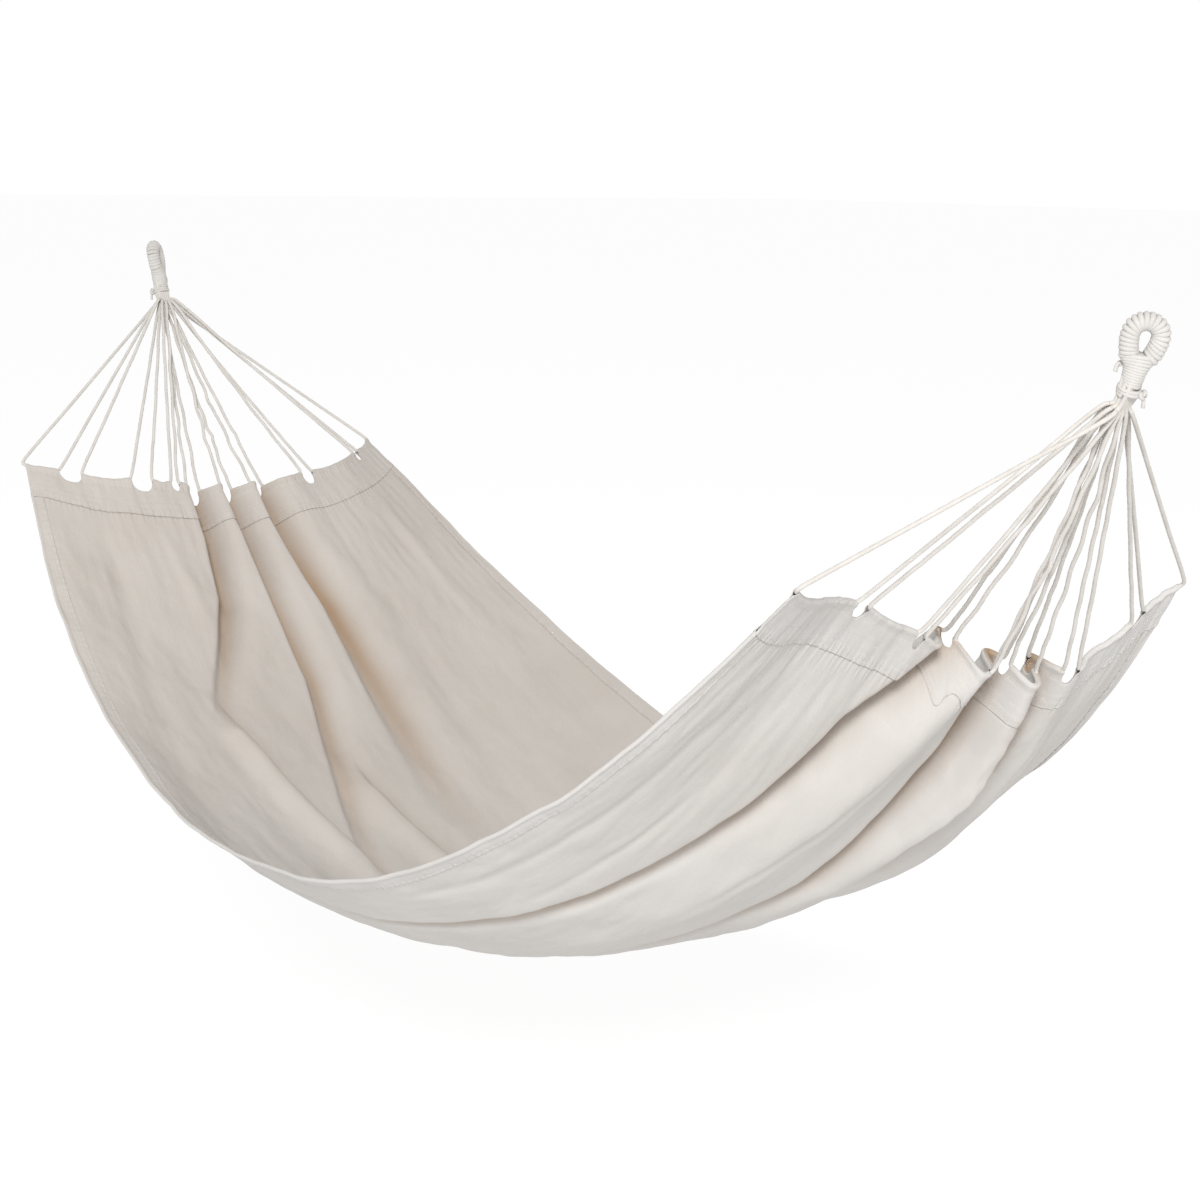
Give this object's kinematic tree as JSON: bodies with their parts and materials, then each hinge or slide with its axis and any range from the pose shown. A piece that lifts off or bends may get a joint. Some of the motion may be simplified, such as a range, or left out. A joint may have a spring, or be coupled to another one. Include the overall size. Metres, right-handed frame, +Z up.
{
  "type": "rope hammock",
  "caption": "Canvas hammock bed with hemmed, scalloped ends, hung by fans of thin cotton cords from two served rope eyes.",
  "frame": {"origin": "the point inside the crown of eye A on which the first hook bears", "axes": "+X from eye A to eye B along the length of the hammock, +Z up, -Y the near long side"},
  "size_m": [1.998, 0.9211, 0.9083],
  "materials": {
    "canvas": "natural unbleached plain-weave cotton canvas, matte",
    "hem_canvas": "doubled cotton canvas with stitched rows, matte, slightly paler",
    "cotton_cord": "twisted cotton cord, matte, slightly fuzzy",
    "serving_cord": "cotton cord wound closely round the eye and the neck, matte"
  },
  "bodies": {
    "loop_a": {"eye_core_a": "cotton_cord", "eye_serving_a": "serving_cord", "neck_whipping_a": "serving_cord", "neck_knot_a": "cotton_cord"},
    "sling": {"canvas_bed": "canvas", "side_hem_near": "hem_canvas", "side_hem_far": "hem_canvas", "end_hem_a": "hem_canvas", "end_hem_b": "hem_canvas", "suspension_cord_a1": "cotton_cord", "suspension_cord_a2": "cotton_cord", "suspension_cord_a3": "cotton_cord", "suspension_cord_a4": "cotton_cord", "suspension_cord_a5": "cotton_cord", "suspension_cord_a6": "cotton_cord", "suspension_cord_a7": "cotton_cord", "suspension_cord_a8": "cotton_cord", "suspension_cord_a9": "cotton_cord", "suspension_cord_b1": "cotton_cord", "suspension_cord_b2": "cotton_cord", "suspension_cord_b3": "cotton_cord", "suspension_cord_b4": "cotton_cord", "suspension_cord_b5": "cotton_cord", "suspension_cord_b6": "cotton_cord", "suspension_cord_b7": "cotton_cord", "suspension_cord_b8": "cotton_cord", "suspension_cord_b9": "cotton_cord"},
    "loop_b": {"eye_core_b": "cotton_cord", "eye_serving_b": "serving_cord", "neck_whipping_b": "serving_cord", "neck_knot_b": "cotton_cord"}
  },
  "joints": [
    {"name": "swing_a", "type": "hinge", "parent": "loop_a", "child": "sling", "pos_m": [0.02045, 0, -0.06903], "axis": [1, 0, 0], "range_deg": [-35, 35]},
    {"name": "swing_b", "type": "hinge", "parent": "sling", "child": "loop_b", "pos_m": [1.93955, 0, -0.06903], "axis": [1, 0, 0], "range_deg": [-35, 35]}
  ],
  "couplings": [
    {"joint": "swing_b", "follows": "swing_a", "ratio": -1}
  ]
}
